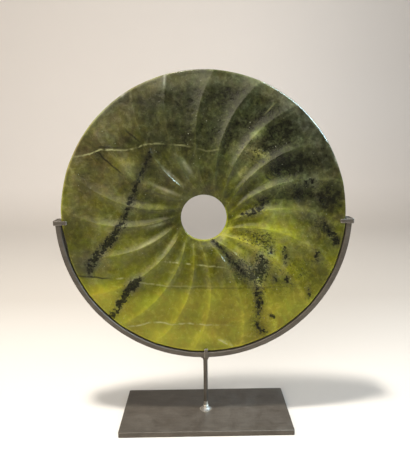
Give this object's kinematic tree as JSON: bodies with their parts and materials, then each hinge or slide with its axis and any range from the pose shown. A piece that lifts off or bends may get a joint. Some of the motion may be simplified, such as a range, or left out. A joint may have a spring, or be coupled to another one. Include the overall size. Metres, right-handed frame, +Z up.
{
  "type": "jade bi disc on a display stand",
  "caption": "Round carved stone disc with a central hole and a swirl of shallow flutes, standing upright in a steel cradle with a thin stem and a rectangular foot.",
  "frame": {"origin": "centre of the base plate's underside", "axes": "+X to the right seen from the carved front, -Y out of the carved front, +Z up"},
  "size_m": [0.3164, 0.085, 0.381],
  "materials": {
    "jade": "waxed polish, mottled olive and yellow green with dark veins",
    "stand_steel": "waxed mill finish, brownish grey",
    "weld_steel": "bright weld metal"
  },
  "bodies": {
    "root": {"jade_disc": "jade", "base_plate": "stand_steel", "stem": "stand_steel", "cradle_arc": "stand_steel", "left_clip": "stand_steel", "right_clip": "stand_steel", "bottom_clip": "stand_steel", "foot_weld": "weld_steel", "cradle_weld": "weld_steel"}
  },
  "joints": []
}
